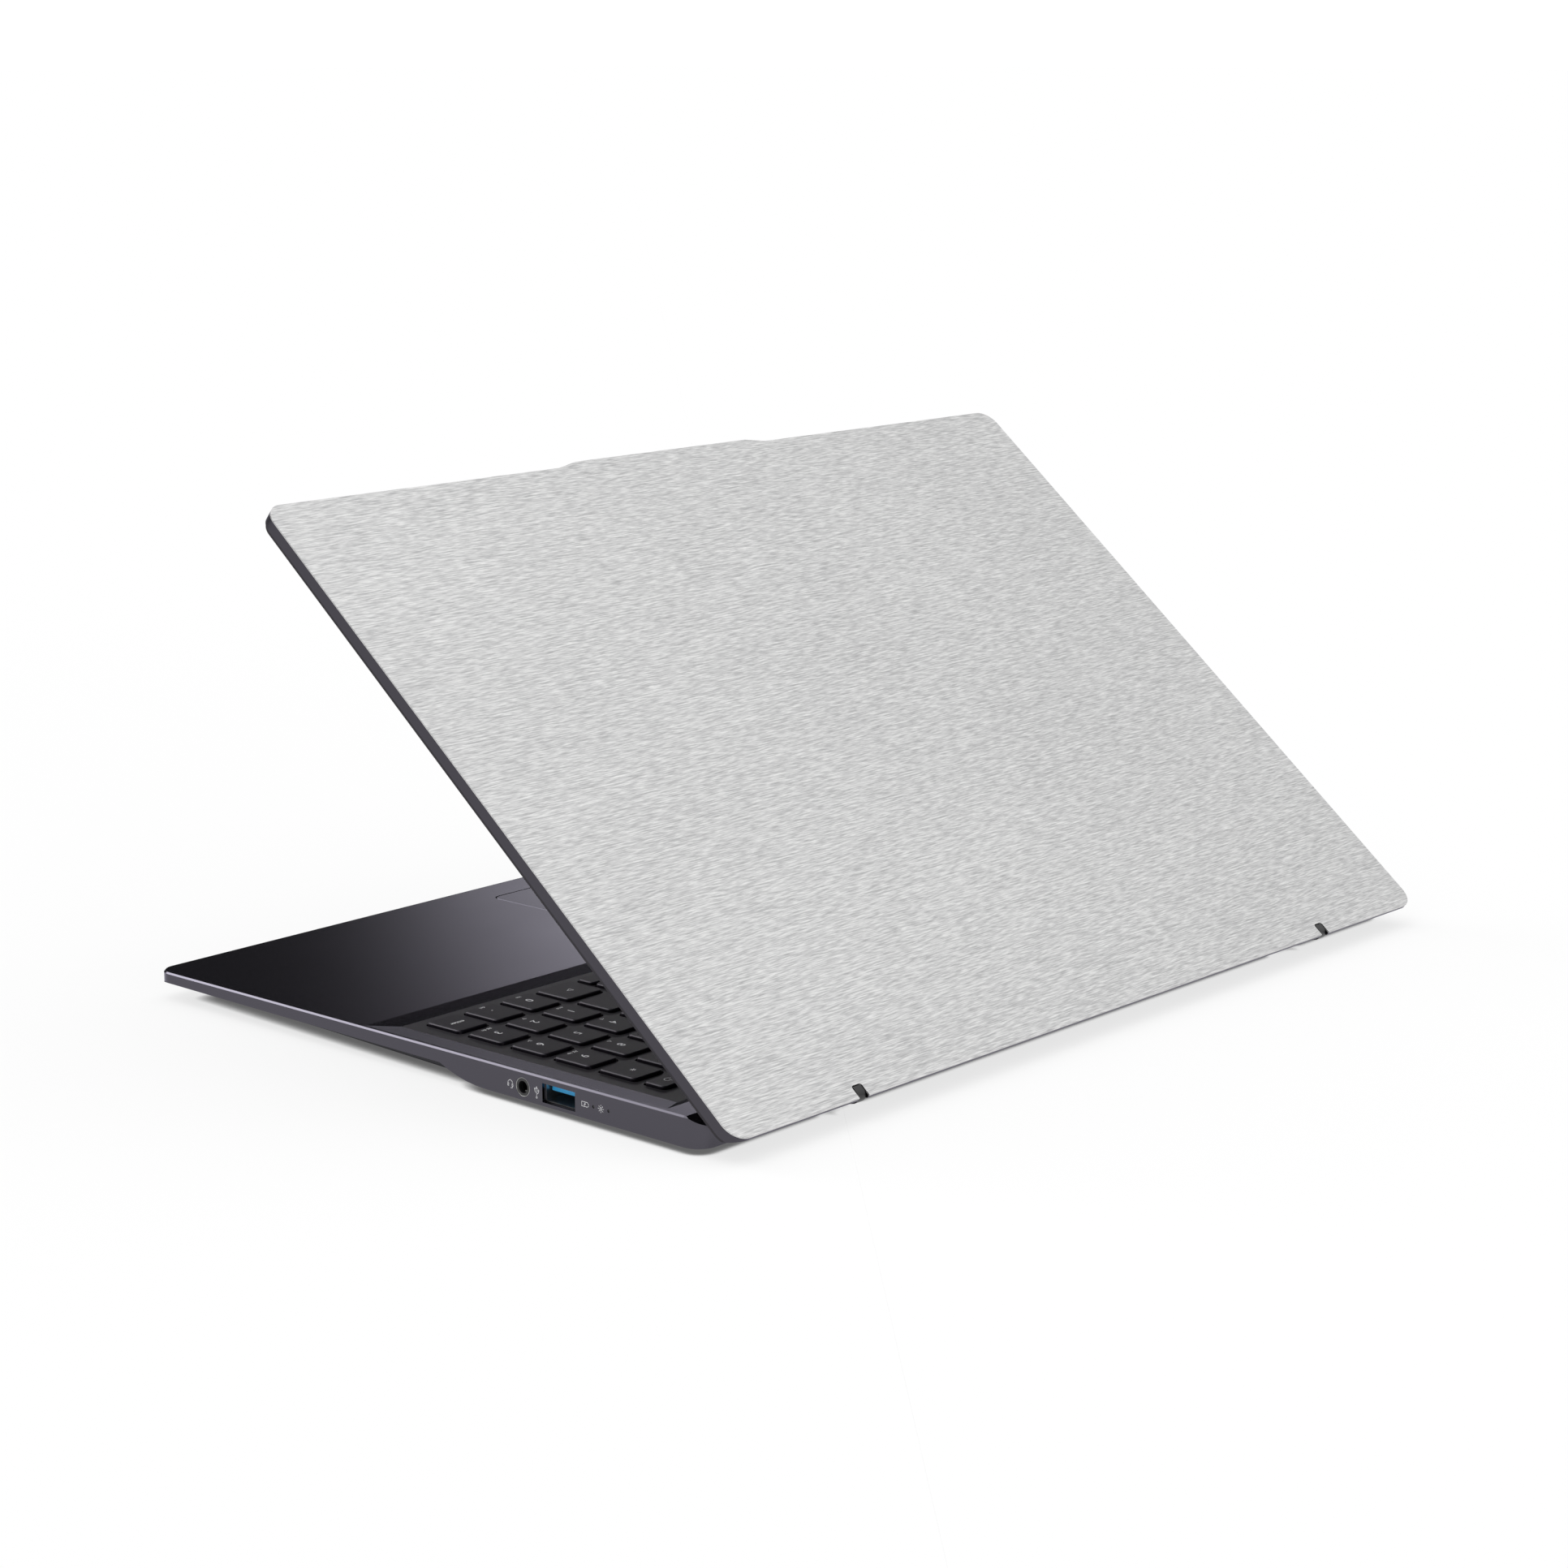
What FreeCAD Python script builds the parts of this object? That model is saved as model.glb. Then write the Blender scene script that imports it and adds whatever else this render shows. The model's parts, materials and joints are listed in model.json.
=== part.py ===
import FreeCAD, Part
import Sketcher
import math
import os
import re

from FreeCAD import Placement, Rotation, Vector

# A 16-inch laptop computer in millimetres. +X is the user's right, +Y runs towards the back, +Z is up,
# and the origin is on the table under the middle of the open machine.
# The lid is built closed, about the hinge axis, and then turned to its opening angle.
# What lies in the deck is built flat, from the deck's front edge, and then tilted with the deck.

os.makedirs("parts", exist_ok=True)
doc = FreeCAD.newDocument("laptop")

DIMENSIONS = {
    # base case
    "width": 356.0,
    "front_y": -130.0,
    "rear_y": 116.5,
    "case_bottom": 2.0,
    "case_wall": 1.6,
    "corner_radius": 6.5,
    "edge_chamfer": 0.5,
    "deck_front_z": 9.7,
    "deck_slope": 0.0069,
    "deck_thick": 1.8,
    "slope_top_y": 110.7,
    "rear_top_z": 8.5,
    "bottom_thick": 1.0,
    "rim_z": 6.2,
    "step_front_y": 8.0,
    "step_rear_y": 28.0,
    "bevel_front": 12.5,
    "bevel_rear": 5.2,
    "fit_gap": 0.1,
    "cavity_half": 165.0,
    "cavity_front_y": -118.0,
    "rim_front_run": 14.0,
    # keyboard
    "floor_half": 168.0,
    "floor_front": 109.7,
    "floor_rear": 228.0,
    "floor_depth": 0.9,
    "floor_side_run": 8.5,
    "floor_front_run": 7.0,
    "floor_rear_run": 4.0,
    "grid_thick": 0.9,
    "main_left": -162.0,
    "key_unit": 18.68,
    "key_gap": 3.3,
    "row_pitch": 18.847,
    "row_front": 114.5,
    "key_depth": 15.2,
    "half_key_depth": 8.5,
    "arrow_gap": 1.0,
    "pad_left": 118.2,
    "pad_pitch": 15.685,
    "pad_key": 12.4,
    "key_top": 0.1,
    "key_thick": 1.7,
    "key_round": 1.5,
    "key_chamfer": 0.3,
    "key_clear": 0.5,
    "sheet_top": -2.95,
    "sheet_thick": 0.3,
    "backplate_thick": 0.4,
    # touchpad
    "pad_x": -26.0,
    "pad_front": 14.3,
    "pad_width": 131.0,
    "pad_depth": 83.0,
    "pad_thick": 1.45,
    "pad_clear": 0.35,
    "pad_round": 3.0,
    "bracket_top": -2.3,
    "bracket_thick": 0.6,
    # lid, measured from the hinge axis with the lid closed
    "hinge_y": 114.52,
    "hinge_z": 4.6,
    "opening": 39.33,
    "lid_inner": 7.1,
    "lid_outer": 12.4,
    "lid_bottom": 9.85,
    "lid_length": 253.65,
    "skin_thick": 0.5,
    "cover_floor": 0.95,
    "cover_wall": 1.8,
    "edge_band": 1.45,
    "bezel_thick": 1.2,
    "bezel_inset": 0.4,
    "lip_height": 1.8,
    "lip_flat": 42.0,
    "lip_foot": 51.3,
    "screen_width": 344.7,
    "screen_height": 215.4,
    "screen_low": 27.0,
    "panel_thick": 2.5,
    # hinges
    "hinge_right": 122.4,
    "hinge_left": -121.0,
    "arm_width": 3.4,
    "notch_width": 4.4,
    "notch_depth": 4.6,
    "slot_width": 7.2,
    "slot_front_y": 107.5,
    "eye_radius": 2.3,
    "pin_radius": 1.2,
    "pin_clear": 0.05,
    "pin_length": 9.0,
    # side ports
    "port_recess": 1.4,
    "port_depth": 12.6,
    "shell_thick": 0.3,
    "jack_y": 44.4,
    "jack_z": 6.0,
    "jack_radius": 1.8,
    "jack_ring": 2.75,
    "jack_hole": 2.95,
    "light_z": 6.3,
    "light_radius": 0.5,
    # cooling
    "fan_x": 62.0,
    "fan_y": 72.0,
    "fan_size": 54.0,
    "fan_bottom": 3.2,
    "fan_height": 3.5,
    "rotor_radius": 22.0,
    "hub_radius": 9.0,
    "blade_count": 31.0,
    # feet and screws
    "foot_height": 2.0,
    "screw_head": 2.0,
    "screw_shank": 0.9,
}

sheet = doc.addObject("Spreadsheet::Sheet", "Dims")
for row, (alias, number) in enumerate(DIMENSIONS.items(), start=1):
    sheet.set(f"A{row}", alias)
    sheet.set(f"B{row}", str(number))
    sheet.setAlias(f"B{row}", alias)
doc.recompute()

subparts = {}


def cells(text):
    """An expression with each alias written as a cell of the sheet."""
    return re.sub(r"[a-z][a-z_]*[a-z]", lambda word: "Dims." + word.group(0), str(text))


def value(text):
    return float(sheet.evalExpression(cells(text)))


def bind(feature, expressions):
    for path, text in expressions.items():
        feature.setExpression(path, cells(text))


def keep(label, feature, placement=None):
    """Names a finished sub-part and puts it in its place."""
    feature.Label = label
    if placement is not None:
        feature.Placement = placement
    subparts[label] = feature
    return feature


# Part workbench helpers. Corners and sizes are expressions of the sheet.

def block(name, corner, size):
    box = doc.addObject("Part::Box", name)
    bind(box, {"Length": size[0], "Width": size[1], "Height": size[2]})
    bind(box, {"Placement.Base.x": corner[0], "Placement.Base.y": corner[1], "Placement.Base.z": corner[2]})
    return box


def peg(name, centre, radius, length, axis="z"):
    """A cylinder that starts at centre and runs along an axis."""
    cylinder = doc.addObject("Part::Cylinder", name)
    turns = {"z": Rotation(), "x": Rotation(Vector(0, 1, 0), 90), "y": Rotation(Vector(1, 0, 0), -90)}
    cylinder.Placement = Placement(Vector(), turns[axis])
    bind(cylinder, {"Radius": radius, "Height": length})
    bind(cylinder, {"Placement.Base.x": centre[0], "Placement.Base.y": centre[1],
                    "Placement.Base.z": centre[2]})
    return cylinder


def group(name, features):
    compound = doc.addObject("Part::Compound", name)
    compound.Links = features
    return compound


def fuse(name, features):
    union = doc.addObject("Part::MultiFuse", name)
    union.Shapes = features
    return union


def cut(name, base, tool):
    difference = doc.addObject("Part::Cut", name)
    difference.Base = base
    difference.Tool = tool
    return difference


def vertical(edge):
    direction = edge.Vertexes[-1].Point - edge.Vertexes[0].Point
    return abs(direction.x) + abs(direction.y) < 1e-6 and abs(direction.z) > 1e-6


def round_edges(name, base, radius, wanted=vertical):
    doc.recompute()
    fillet = doc.addObject("Part::Fillet", name)
    fillet.Base = base
    fillet.Edges = [(i, radius, radius) for i, edge in enumerate(base.Shape.Edges, 1) if wanted(edge)]
    return fillet


def bevel_top(name, base, size):
    """A chamfer along every edge of the highest face."""
    doc.recompute()
    top = base.Shape.BoundBox.ZMax
    chamfer = doc.addObject("Part::Chamfer", name)
    chamfer.Base = base
    chamfer.Edges = [(i, size, size) for i, edge in enumerate(base.Shape.Edges, 1)
                     if edge.BoundBox.ZMin > top - 1e-6]
    return chamfer


def rounded_block(name, corner, size, radius):
    return round_edges(name, block(name + "_block", corner, size), radius)


# PartDesign helpers.

def new_body(name):
    return doc.addObject("PartDesign::Body", name)


def sketch_on(body, name, role, offset=("0", "0", "0")):
    sketch = body.newObject("Sketcher::SketchObject", name)
    plane = next(item for item in body.Origin.OriginFeatures if item.Role == role)
    sketch.AttachmentSupport = [(plane, "")]
    sketch.MapMode = "FlatFace"
    for axis, text in zip("xyz", offset):
        sketch.setExpression("AttachmentOffset.Base." + axis, cells(text))
    return sketch


def fix_point(sketch, geometry, position, point):
    """Dimensions a vertex from the sketch's origin by two expressions."""
    for kind, text in zip(("DistanceX", "DistanceY"), point):
        index = sketch.addConstraint(Sketcher.Constraint(kind, geometry, position, value(text)))
        sketch.setExpression(f"Constraints[{index}]", cells(text))


def outline(sketch, points, arcs=None):
    """A closed outline. arcs gives, for a side's number, its radius and the sign of its bulge."""
    arcs = arcs or {}
    corners = [Vector(value(point[0]), value(point[1]), 0) for point in points]
    count = len(points)
    for i, start in enumerate(corners):
        end = corners[(i + 1) % count]
        if i not in arcs:
            sketch.addGeometry(Part.LineSegment(start, end))
            continue
        radius = value(arcs[i][0])
        chord = end - start
        rise = radius - math.sqrt(radius ** 2 - (chord.Length / 2) ** 2)
        across = Vector(chord.y, -chord.x, 0).normalize() * rise * arcs[i][1]
        sketch.addGeometry(Part.Arc(start, (start + end) * 0.5 + across, end))
    for i, point in enumerate(points):
        before = (i - 1) % count
        last = 2
        first = 1
        if before in arcs and arcs[before][1] < 0:
            last = 1
        if i in arcs and arcs[i][1] < 0:
            first = 2
        sketch.addConstraint(Sketcher.Constraint("Coincident", before, last, i, first))
        fix_point(sketch, i, first, point)
    for i, (radius, _) in arcs.items():
        index = sketch.addConstraint(Sketcher.Constraint("Radius", i, value(radius)))
        sketch.setExpression(f"Constraints[{index}]", cells(radius))


def rounded_outline(sketch, length, depth, radius):
    """A rectangle with round corners, centred on the sketch's origin."""
    x = value(length) / 2
    y = value(depth) / 2
    r = value(radius)
    flats = [((r - x, -y), (x - r, -y)), ((x, r - y), (x, y - r)),
             ((x - r, y), (r - x, y)), ((-x, y - r), (-x, r - y))]
    for start, end in flats:
        sketch.addGeometry(Part.LineSegment(Vector(*start, 0), Vector(*end, 0)))
    for i, (side_x, side_y) in enumerate(((1, -1), (1, 1), (-1, 1), (-1, -1))):
        circle = Part.Circle(Vector(side_x * (x - r), side_y * (y - r), 0), Vector(0, 0, 1), r)
        sketch.addGeometry(Part.ArcOfCircle(circle, math.pi * (i - 1) / 2, math.pi * i / 2))
    for i in range(4):
        sketch.addConstraint(Sketcher.Constraint("Tangent", i, 2, i + 4, 1))
        sketch.addConstraint(Sketcher.Constraint("Tangent", i + 4, 2, (i + 1) % 4, 1))
    for i in (5, 6, 7):
        sketch.addConstraint(Sketcher.Constraint("Equal", 4, i))
    sketch.addConstraint(Sketcher.Constraint("Horizontal", 0))
    sketch.addConstraint(Sketcher.Constraint("Symmetric", 4, 3, 6, 3, -1, 1))
    for kind, near, far, text in (("DistanceX", 3, 1, length), ("DistanceY", 0, 2, depth)):
        index = sketch.addConstraint(Sketcher.Constraint(kind, near, 1, far, 1, value(text)))
        sketch.setExpression(f"Constraints[{index}]", cells(text))
    index = sketch.addConstraint(Sketcher.Constraint("Radius", 4, r))
    sketch.setExpression(f"Constraints[{index}]", cells(radius))


def pad(body, sketch, name, length, symmetric=False):
    feature = body.newObject("PartDesign::Pad", name)
    feature.Profile = sketch
    bind(feature, {"Length": length})
    if symmetric:
        feature.SideType = "Symmetric"
    doc.recompute()
    return feature


def pocket(body, sketch, name, length, symmetric=False):
    before = body.Shape.Volume
    feature = body.newObject("PartDesign::Pocket", name)
    feature.Profile = sketch
    bind(feature, {"Length": length})
    if symmetric:
        feature.SideType = "Symmetric"
    doc.recompute()
    if body.Shape.Volume > before - 1e-3:
        raise RuntimeError(name + " cuts nothing")
    return feature


def plate(name, centre, size, radius):
    """A body: a flat plate with round corners. centre is the middle of its lower face."""
    body = new_body(name)
    sketch = sketch_on(body, name + "_outline", "XY_Plane", centre)
    rounded_outline(sketch, size[0], size[1], radius)
    pad(body, sketch, name + "_pad", size[2])
    return body


def add_plate(body, name, centre, size, radius):
    sketch = sketch_on(body, name + "_outline", "XY_Plane", centre)
    rounded_outline(sketch, size[0], size[1], radius)
    pad(body, sketch, name + "_pad", size[2])


def sink_plate(body, name, centre, size, radius):
    """A pocket. centre is the middle of its mouth, and it runs down from there."""
    sketch = sketch_on(body, name + "_outline", "XY_Plane", centre)
    rounded_outline(sketch, size[0], size[1], radius)
    pocket(body, sketch, name + "_pocket", size[2])


DECK = Placement(Vector(0, value("front_y"), value("deck_front_z")),
                 Rotation(Vector(1, 0, 0), math.degrees(math.atan(value("deck_slope")))))
LID = Placement(Vector(0, value("hinge_y"), value("hinge_z")),
                Rotation(Vector(-1, 0, 0), value("opening")))
HINGES = {"right": ("hinge_right", -1), "left": ("hinge_left", 1)}

# Right-hand and left-hand ports: middle y, middle z, opening length and height.
PORTS = {
    "usb_a_right": ("59.55", "6.05", "13.7", "5.9"),
    "usb_a_left": ("43", "6.05", "13.7", "5.9"),
    "hdmi_port": ("63.5", "6.05", "15.2", "5.6"),
    "usb_c_front": ("81", "5.9", "9.0", "3.2"),
    "usb_c_rear": ("95", "5.9", "9.0", "3.2"),
}
LIGHTS = ("74.0", "80.2")
SCREWS = [(-155, -109), (155, -109), (-161, -32), (161, -32), (-140, 104), (140, 104), (-60, 104), (8, 104)]


def deck_z(y):
    return f"(deck_front_z + ({y} - front_y) * deck_slope)"


def hinge_slots(name):
    """Openings at the rear through which the hinge arms swing, with room for the hinge barrels."""
    cutters = []
    for side, (centre, inward) in HINGES.items():
        cutters.append(block(f"{name}_{side}_swing", (f"{centre} - slot_width / 2", "slot_front_y", "-1"),
                             ("slot_width", "20", "16")))
        barrel_x = f"{centre} + {inward} * 8 - 5"
        cutters.append(block(f"{name}_{side}_barrel", (barrel_x, "hinge_y - 2.7", "-1"), ("10", "20", "8.2")))
    return cutters


# Base case: one side profile drawn across the width, then hollowed.

STEP_RADIUS = ("((step_rear_y - step_front_y) ^ 2 + (rim_z - case_bottom) ^ 2)"
               " / (2 * (rim_z - case_bottom))")


def case_shell():
    body = new_body("case_shell")
    profile = sketch_on(body, "case_profile", "YZ_Plane")
    outline(profile, [("front_y", "rim_z"), ("step_front_y", "rim_z"), ("step_rear_y", "case_bottom"),
                      ("rear_y", "case_bottom"), ("rear_y", "rear_top_z"),
                      ("slope_top_y", deck_z("slope_top_y")), ("front_y", "deck_front_z")],
            {1: (STEP_RADIUS, 1)})
    block_pad = pad(body, profile, "case_pad", "width", symmetric=True)
    corners = body.newObject("PartDesign::Fillet", "case_corners")
    corners.Base = (block_pad, [f"Edge{i}" for i, edge in enumerate(block_pad.Shape.Edges, 1)
                                if vertical(edge)])
    bind(corners, {"Radius": "corner_radius"})
    doc.recompute()
    rim = body.newObject("PartDesign::Chamfer", "case_rim")
    rim.Base = (corners, [f"Edge{i}" for i, edge in enumerate(corners.Shape.Edges, 1) if on_deck_rim(edge)])
    bind(rim, {"Size": "edge_chamfer"})
    doc.recompute()
    inside = new_body("case_inside")
    section = sketch_on(inside, "case_inside_section", "YZ_Plane")
    under = "front_y + case_wall"
    over = "slope_top_y - case_wall"
    outline(section, [(under, "-1"), ("rear_y - case_wall", "-1"),
                      ("rear_y - case_wall", "rear_top_z - case_wall"),
                      (over, deck_z(over) + " - deck_thick"), (under, deck_z(under) + " - deck_thick")])
    inner_width = "width - 2 * case_wall"
    pad(inside, section, "case_inside_pad", inner_width, symmetric=True)
    plan = plate("case_inside_plan", ("0", "(front_y + rear_y) / 2", "-2"),
                 (inner_width, "rear_y - front_y - 2 * case_wall", "20"), "corner_radius - case_wall")
    room = doc.addObject("Part::Common", "case_room")
    room.Base = inside
    room.Tool = plan
    return cut("case_hollowed", body, room)


def on_deck_rim(edge):
    """True for the deck's outer edges: both ends in the deck's plane, and not its rear fold."""
    for vertex in edge.Vertexes:
        height = value("deck_front_z") + (vertex.Y - value("front_y")) * value("deck_slope")
        if abs(vertex.Z - height) > 1e-3:
            return False
    box = edge.BoundBox
    return not (box.YMin > value("slope_top_y") - 1e-3 and box.XLength > value("width") / 2)


def port_opening(name, side):
    y, z, length, height = PORTS[name]
    start = {"right": "width / 2 - 3", "left": "-width / 2 - 3"}[side]
    return block(f"{name}_{side}_opening", (start, f"{y} - {length} / 2", f"{z} - {height} / 2"),
                 ("6", length, height))


def build_top_case():
    bosses = []
    pilots = []
    for i, (x, y) in enumerate(SCREWS):
        top = deck_z(str(y)) + " - deck_thick / 2"
        bosses.append(peg(f"boss_{i}", (x, y, "case_bottom + bottom_thick"), "2.4",
                          top + " - case_bottom - bottom_thick"))
        pilots.append(peg(f"pilot_{i}", (x, y, "case_bottom"), "screw_shank + 0.05", "4.6"))
    shell = fuse("case_with_bosses", [case_shell()] + bosses)

    well = doc.addObject("Part::Wedge", "keyboard_well")
    well.Placement = Placement(Vector(), Rotation(Vector(1, 0, 0), 90))
    grow = "4 / 3"
    bind(well, {"Ymin": "-floor_depth", "Ymax": "floor_depth / 3",
                "Xmin": "-floor_half", "Xmax": "floor_half", "Zmin": "-floor_rear", "Zmax": "-floor_front",
                "X2min": f"-floor_half - floor_side_run * {grow}",
                "X2max": f"floor_half + floor_side_run * {grow}",
                "Z2min": f"-floor_rear - floor_rear_run * {grow}",
                "Z2max": f"-floor_front + floor_front_run * {grow}"})
    mouth = block("keyboard_mouth", ("-floor_half", "floor_front", "-6"),
                  ("2 * floor_half", "floor_rear - floor_front", "7"))
    window = rounded_block("touchpad_window",
                           ("pad_x - pad_width / 2 - pad_clear", "pad_front - pad_clear", "-6"),
                           ("pad_width + 2 * pad_clear", "pad_depth + 2 * pad_clear", "8"),
                           value("pad_round + pad_clear"))
    deck_tools = group("deck_tools", [well, mouth, window])
    deck_tools.Placement = DECK

    openings = [port_opening("usb_a_right", "right")]
    openings += [port_opening(name, "left") for name in PORTS if name != "usb_a_right"]
    openings.append(peg("jack_opening", ("width / 2 - 3", "jack_y", "jack_z"), "jack_hole", "6", "x"))
    for i, y in enumerate(LIGHTS):
        openings.append(peg(f"light_opening_{i}", ("width / 2 - 3", y, "light_z"), "light_radius", "6", "x"))
    for i in range(18):
        openings.append(block(f"exhaust_{i}", (f"fan_x - 27 + {i} * 3.1", "rear_y - 4", "4.0"),
                              ("1.9", "6", "2.6")))
    tools = group("case_tools", pilots + openings + hinge_slots("case"))
    keep("top_case", cut("top_case", cut("case_deck", shell, deck_tools), tools))


def side_bevel(name, side):
    """The wedge under one side's bevel, wider towards the front."""
    body = new_body(name)
    sections = []
    for station, run in (("step_rear_y + 4", "bevel_rear"), ("front_y - 1", "bevel_front")):
        section = sketch_on(body, f"{name}_section_{len(sections)}", "XZ_Plane", ("0", "0", f"-({station})"))
        edge = f"{side} * (width / 2 + 0.01)"
        outline(section, [(edge, "rim_z"), (edge, "case_bottom - 0.5"),
                          (f"{side} * (width / 2 - {run} - 0.8)", "case_bottom - 0.5")])
        sections.append(section)
    loft = body.newObject("PartDesign::AdditiveLoft", name + "_loft")
    loft.Profile = sections[0]
    loft.Sections = [sections[1]]
    loft.Ruled = True
    doc.recompute()
    return body


def side_scoops():
    """What the bevels remove: the wedges, as far back as the step in the side walls."""
    under_step = new_body("under_step")
    profile = sketch_on(under_step, "step_profile", "YZ_Plane")
    outline(profile, [("front_y - 5", "-1"), ("step_rear_y", "-1"), ("step_rear_y", "case_bottom"),
                      ("step_front_y", "rim_z"), ("front_y - 5", "rim_z")],
            {2: (STEP_RADIUS, -1)})
    pad(under_step, profile, "under_step_pad", "width + 10", symmetric=True)
    scoops = doc.addObject("Part::Common", "side_scoops")
    scoops.Base = group("bevel_wedges", [side_bevel("bevel_right", 1), side_bevel("bevel_left", -1)])
    scoops.Tool = under_step
    return scoops


def build_bottom_cover():
    body = new_body("bottom_shell")
    profile = sketch_on(body, "rim_profile", "YZ_Plane")
    outline(profile, [("front_y + rim_front_run", "case_bottom"), ("step_front_y", "case_bottom"),
                      ("step_front_y", "rim_z"), ("front_y", "rim_z")])
    pad(body, profile, "rim_pad", "width", symmetric=True)
    inner_width = "width - 2 * case_wall - 2 * fit_gap"
    haunch_rear = "step_rear_y + 3"
    add_plate(body, "haunch", ("0", f"(step_front_y - 4 + {haunch_rear}) / 2", "case_bottom"),
              (inner_width, f"{haunch_rear} - step_front_y + 4", "rim_z - case_bottom"), "1")
    sink_plate(body, "tray", ("0", "(cavity_front_y + 60) / 2", "20"),
               ("2 * cavity_half", "60 - cavity_front_y", "20 - case_bottom - bottom_thick"), "4")
    floor_front = "step_rear_y - 2"
    floor_rear = "rear_y - case_wall - fit_gap"
    add_plate(body, "rear_floor", ("0", f"({floor_front} + {floor_rear}) / 2", "case_bottom"),
              (inner_width, f"{floor_rear} - ({floor_front})", "bottom_thick"), "corner_radius - case_wall")
    plan = plate("bottom_plan", ("0", "(front_y + rear_y) / 2", "0"), ("width", "rear_y - front_y", "20"),
                 "corner_radius")
    rounded = doc.addObject("Part::Common", "bottom_rounded")
    rounded.Base = body
    rounded.Tool = plan
    bevelled = cut("bottom_bevelled", rounded, side_scoops())
    cutters = hinge_slots("bottom")
    for i, (x, y) in enumerate(SCREWS):
        cutters.append(peg(f"screw_way_{i}", (x, y, "0"), "screw_shank + 0.15", "8"))
        cutters.append(peg(f"screw_sink_{i}", (x, y, "0"), "screw_head + 0.1", "case_bottom + 0.6"))
    for i in range(15):
        for j in range(3):
            corner = (f"fan_x - 27 + {i} * 3.8", f"fan_y - 24 + {j} * 17", "0")
            cutters.append(block(f"air_slot_{i}_{j}", corner, ("1.6", "14", "6")))
    for side in (-1, 1):
        for i in range(9):
            cutters.append(block(f"sound_slot_{side + 1}_{i}",
                                 (f"{side} * 144 - 0.75 + {(i - 4) * 3.2}", "-88", "0"), ("1.5", "12", "8")))
    keep("bottom_cover", cut("bottom_cover", bevelled, group("bottom_tools", cutters)))


# Feet, and the screws that hold the bottom cover.

def build_feet():
    strip = plate("rear_strip", ("0", "96", "0"), ("216", "8", "foot_height"), "3.9")
    keep("rear_foot_strip", strip)
    for side, x in (("left", "-120"), ("right", "120")):
        pad_foot = plate(f"front_pad_{side}", (x, "-104", "0"), ("34", "7", "foot_height"), "3.4")
        keep(f"front_foot_{side}", pad_foot)


def build_screws():
    screws = []
    for i, (x, y) in enumerate(SCREWS):
        head = peg(f"screw_head_{i}", (x, y, "case_bottom"), "screw_head", "0.6")
        shank = peg(f"screw_shank_{i}", (x, y, "case_bottom + 0.3"), "screw_shank", "3.6")
        slots = group(f"screw_cross_{i}", [
            block(f"screw_slot_{i}_a", (f"{x} - 1.1", f"{y} - 0.2", "case_bottom - 0.2"), ("2.2", "0.4", "0.5")),
            block(f"screw_slot_{i}_b", (f"{x} - 0.2", f"{y} - 1.1", "case_bottom - 0.2"), ("0.4", "2.2", "0.5"))])
        screws.append(cut(f"screw_{i}", fuse(f"screw_blank_{i}", [head, shank]), slots))
    keep("bottom_screws", group("bottom_screws", screws))


# Keyboard. Widths are in key units, from left to right, each with the node its key belongs to.

LETTERS = {4: "number_row_keys", 3: "upper_row_keys", 2: "home_row_keys", 1: "lower_row_keys"}
MAIN_ROWS = {
    5: [(1, "function_row_keys")] * 15,
    4: [(1, LETTERS[4])] * 13 + [(2, "backspace_key")],
    3: [(1.5, "tab_key")] + [(1, LETTERS[3])] * 12 + [(1.5, LETTERS[3])],
    2: [(1.75, "caps_lock_key")] + [(1, LETTERS[2])] * 11 + [(2.25, "enter_key")],
    1: [(2.25, "left_shift_key")] + [(1, LETTERS[1])] * 10 + [(2.75, "right_shift_key")],
    0: [(1.25, "modifier_keys")] + [(1, "modifier_keys")] * 3 + [(5.5, "space_bar")]
       + [(1, "modifier_keys"), (1.25, "modifier_keys"), (1, "arrow_keys"), (1, "half_arrows"),
          (1, "arrow_keys")],
}
PAD_COLUMNS = range(3)
PAD_NODES = {
    5: ["function_row_keys", "function_row_keys", "power_key"],
    4: ["numpad_operator_keys"] * 3,
    3: ["numpad_digit_keys"] * 3,
    2: ["numpad_digit_keys"] * 3,
    1: ["numpad_digit_keys"] * 3,
    0: ["numpad_digit_keys", "numpad_operator_keys", "numpad_enter_key"],
}


def key_places():
    """Each key's node, left edge, front edge, width and depth, as expressions."""
    places = []
    for row, keys in MAIN_ROWS.items():
        front = f"row_front + {row} * row_pitch"
        depth = "half_key_depth" if row == 5 else "key_depth"
        along = 0
        for units, node in keys:
            left = f"main_left + {along} * key_unit"
            width = f"{units} * key_unit - key_gap"
            if node == "half_arrows":
                half = "(key_depth - arrow_gap) / 2"
                places.append(("arrow_keys", left, front, width, half))
                places.append(("arrow_keys", left, f"{front} + {half} + arrow_gap", width, half))
            else:
                places.append((node, left, front, width, depth))
            along += units
        for column in PAD_COLUMNS:
            places.append((PAD_NODES[row][column], f"pad_left + {column} * pad_pitch", front, "pad_key", depth))
    return places


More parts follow.
